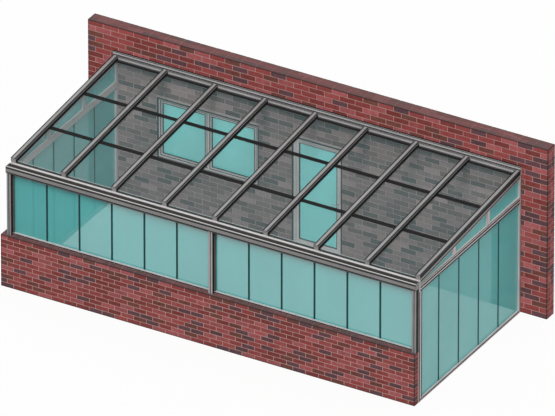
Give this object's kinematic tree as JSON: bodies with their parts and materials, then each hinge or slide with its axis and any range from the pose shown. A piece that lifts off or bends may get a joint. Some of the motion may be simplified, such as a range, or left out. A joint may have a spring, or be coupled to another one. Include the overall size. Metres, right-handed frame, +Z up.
{
  "type": "veranda",
  "caption": "Lean-to glazed veranda with a sloping glass roof and gutter, sliding glass walls on a low brick wall, set against a brick house wall with a window and a door.",
  "frame": {"origin": "floor level under the middle of the whole part", "axes": "+X along the house wall, +Y towards the house, +Z up"},
  "size_m": [9.04, 3.885, 3.32],
  "materials": {
    "house_brick": "fired brick in running bond with thin light joints",
    "low_wall_brick": "fired brick in running bond with thin light joints",
    "aluminium_house": "light grey powder coat, satin",
    "aluminium_front": "light grey powder coat, satin",
    "aluminium_gutter": "light grey powder coat, satin",
    "aluminium_roof": "light grey powder coat, satin",
    "aluminium_side": "light grey powder coat, satin",
    "handle_steel": "brushed",
    "wall_glass": "clear with a teal tint",
    "house_glass": "double pane with a teal tint",
    "roof_glass": "laminated, clear with a grey tint",
    "joint_seal": "dark teal grey, matt",
    "black_seal": "black, matt"
  },
  "bodies": {
    "veranda": {"corner_posts": "aluminium_front", "door_frame": "aluminium_house", "door_frame_seal": "black_seal", "front_heads": "aluminium_front", "front_jambs": "aluminium_front", "front_pane_joints": "joint_seal", "front_panes_left": "wall_glass", "front_panes_right": "wall_glass", "front_seals": "black_seal", "front_sills": "aluminium_front", "glazing_bars": "black_seal", "gutter": "aluminium_gutter", "gutter_ends": "aluminium_gutter", "gutter_seals": "black_seal", "house_wall_between": "house_brick", "house_wall_left": "house_brick", "house_wall_over_door": "house_brick", "house_wall_over_window": "house_brick", "house_wall_right": "house_brick", "house_wall_under_window": "house_brick", "ledger_flashings": "aluminium_roof", "ledger_seals": "black_seal", "left_gable_frame": "aluminium_side", "left_gable_panes": "wall_glass", "left_side_jambs": "aluminium_side", "left_side_pane_joints": "joint_seal", "left_side_panes": "wall_glass", "left_side_seals": "black_seal", "left_side_sill": "aluminium_side", "left_transom": "aluminium_side", "low_wall": "low_wall_brick", "middle_post": "aluminium_front", "rafter_caps": "aluminium_roof", "rafters": "aluminium_roof", "right_gable_frame": "aluminium_side", "right_gable_panes": "wall_glass", "right_side_jambs": "aluminium_side", "right_side_pane_joints": "joint_seal", "right_side_panes": "wall_glass", "right_side_seals": "black_seal", "right_side_sill": "aluminium_side", "right_transom": "aluminium_side", "roof_panes": "roof_glass", "roof_seals": "black_seal", "wall_ledger": "aluminium_roof", "window_frame": "aluminium_house", "window_panes": "house_glass", "window_sashes": "aluminium_house", "window_seals": "black_seal"},
    "door": {"door_leaf": "aluminium_house", "door_pane": "house_glass", "door_pane_seal": "black_seal", "door_handles": "handle_steel"}
  },
  "joints": [
    {"name": "door_hinge", "type": "hinge", "parent": "veranda", "child": "door", "pos_m": [-0.4345, 1.8125, 1.05], "axis": [0, 0, 1], "range_deg": [0, 90]}
  ]
}
